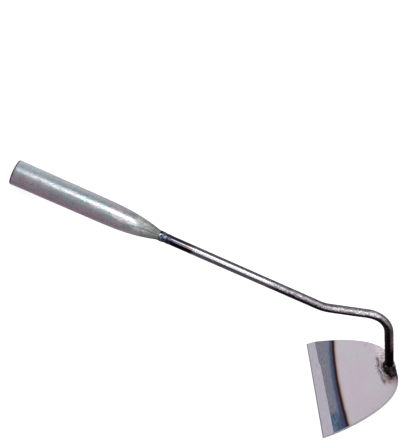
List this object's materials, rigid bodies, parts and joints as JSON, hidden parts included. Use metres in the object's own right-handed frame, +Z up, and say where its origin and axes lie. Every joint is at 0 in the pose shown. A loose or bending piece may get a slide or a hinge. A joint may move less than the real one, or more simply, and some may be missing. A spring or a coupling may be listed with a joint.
{
  "type": "half-moon draw hoe",
  "caption": "Short hand hoe: a half-moon steel blade welded to a gooseneck bar, with a galvanised tube handle swaged and welded onto the bar.",
  "frame": {"origin": "on the floor under the middle of the tool's bounding box, as it rests on the cutting edge and on the lowest point of the handle's rear rim", "axes": "+X from the handle's rear end towards the blade, +Z up, +Y to the left of someone looking along +X; the tool is symmetric about the XZ plane"},
  "size_m": [0.3766, 0.113, 0.1051],
  "materials": {
    "zinc_tube": "satin",
    "bar_steel": "satin",
    "blade_steel": "satin",
    "handle_weld_metal": "satin",
    "blade_weld_metal": "satin"
  },
  "bodies": {
    "root": {"handle_tube": "zinc_tube", "neck_rod": "bar_steel", "handle_weld": "handle_weld_metal", "hoe_blade": "blade_steel", "blade_weld": "blade_weld_metal"}
  },
  "joints": []
}
